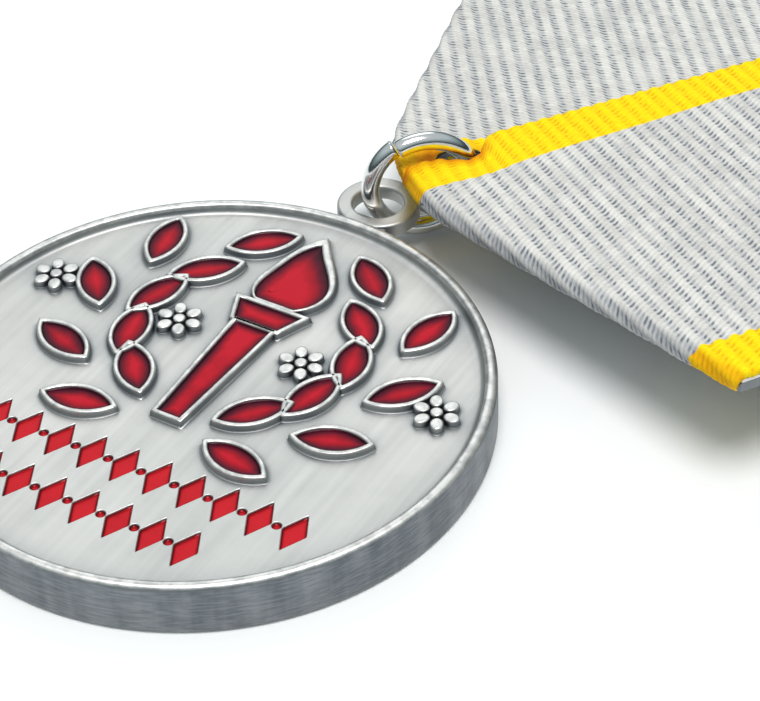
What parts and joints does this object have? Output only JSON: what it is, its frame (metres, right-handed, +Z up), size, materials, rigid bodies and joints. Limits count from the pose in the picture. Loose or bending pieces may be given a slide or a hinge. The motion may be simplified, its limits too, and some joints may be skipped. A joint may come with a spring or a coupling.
{
  "type": "medal",
  "caption": "Round enamelled medal hung by a split ring from a ribbon-covered pentagonal mount with a brooch pin on its back.",
  "frame": {"origin": "middle of the disc's back, which lies on the table", "axes": "+X along the inlaid rows to the reader's right, +Y from the disc's middle to its lug, +Z up out of the disc's face"},
  "size_m": [0.0655, 0.082, 0.0078],
  "materials": {
    "medal_silver": "struck nickel silver, antiqued in the recesses, bright on the raised edges",
    "ruby_enamel": "translucent ruby enamel fused over metal, glossy",
    "ring_nickel": "bright nickel-plated wire",
    "plate_steel": "plain sheet steel",
    "card_white": "white card",
    "ribbon_fabric": "ribbed grosgrain with a yellow stripe along each edge",
    "thread": "cotton thread",
    "brooch_metal": "nickel-plated pressed steel",
    "needle_steel": "drawn steel wire"
  },
  "bodies": {
    "medal": {"medal_disc": "medal_silver", "enamel_leaves_left": "ruby_enamel", "enamel_leaves_right": "ruby_enamel", "enamel_torch_handle": "ruby_enamel", "enamel_torch_bowl": "ruby_enamel", "enamel_torch_flame": "ruby_enamel", "enamel_border_upper": "ruby_enamel", "enamel_border_lower": "ruby_enamel"},
    "ring": {"jump_ring": "ring_nickel"},
    "mount": {"mount_plate": "plate_steel", "stiffener_card": "card_white", "ribbon_under": "ribbon_fabric", "ribbon_over": "ribbon_fabric", "ribbon_stitches": "thread", "pin_base": "brooch_metal", "base_rivets": "brooch_metal", "hinge_rivet": "brooch_metal", "pin_catch": "brooch_metal"},
    "pin": {"pin_wire": "needle_steel"}
  },
  "joints": [
    {"name": "ring_swing", "type": "hinge", "parent": "medal", "child": "ring", "pos_m": [0.00169, 0.01961, 0.00215], "axis": [0.6884, -0.7254, 0], "range_deg": [-120, 15]},
    {"name": "mount_swing", "type": "hinge", "parent": "ring", "child": "mount", "pos_m": [0.00214, 0.01951, 0.00499], "axis": [0.6884, -0.7254, 0], "range_deg": [-10, 150]},
    {"name": "pin_swing", "type": "hinge", "parent": "mount", "child": "pin", "pos_m": [0.02789, 0.02755, 0.00334], "axis": [-0.7179, -0.6948, 0.0437], "range_deg": [0, 70]}
  ]
}
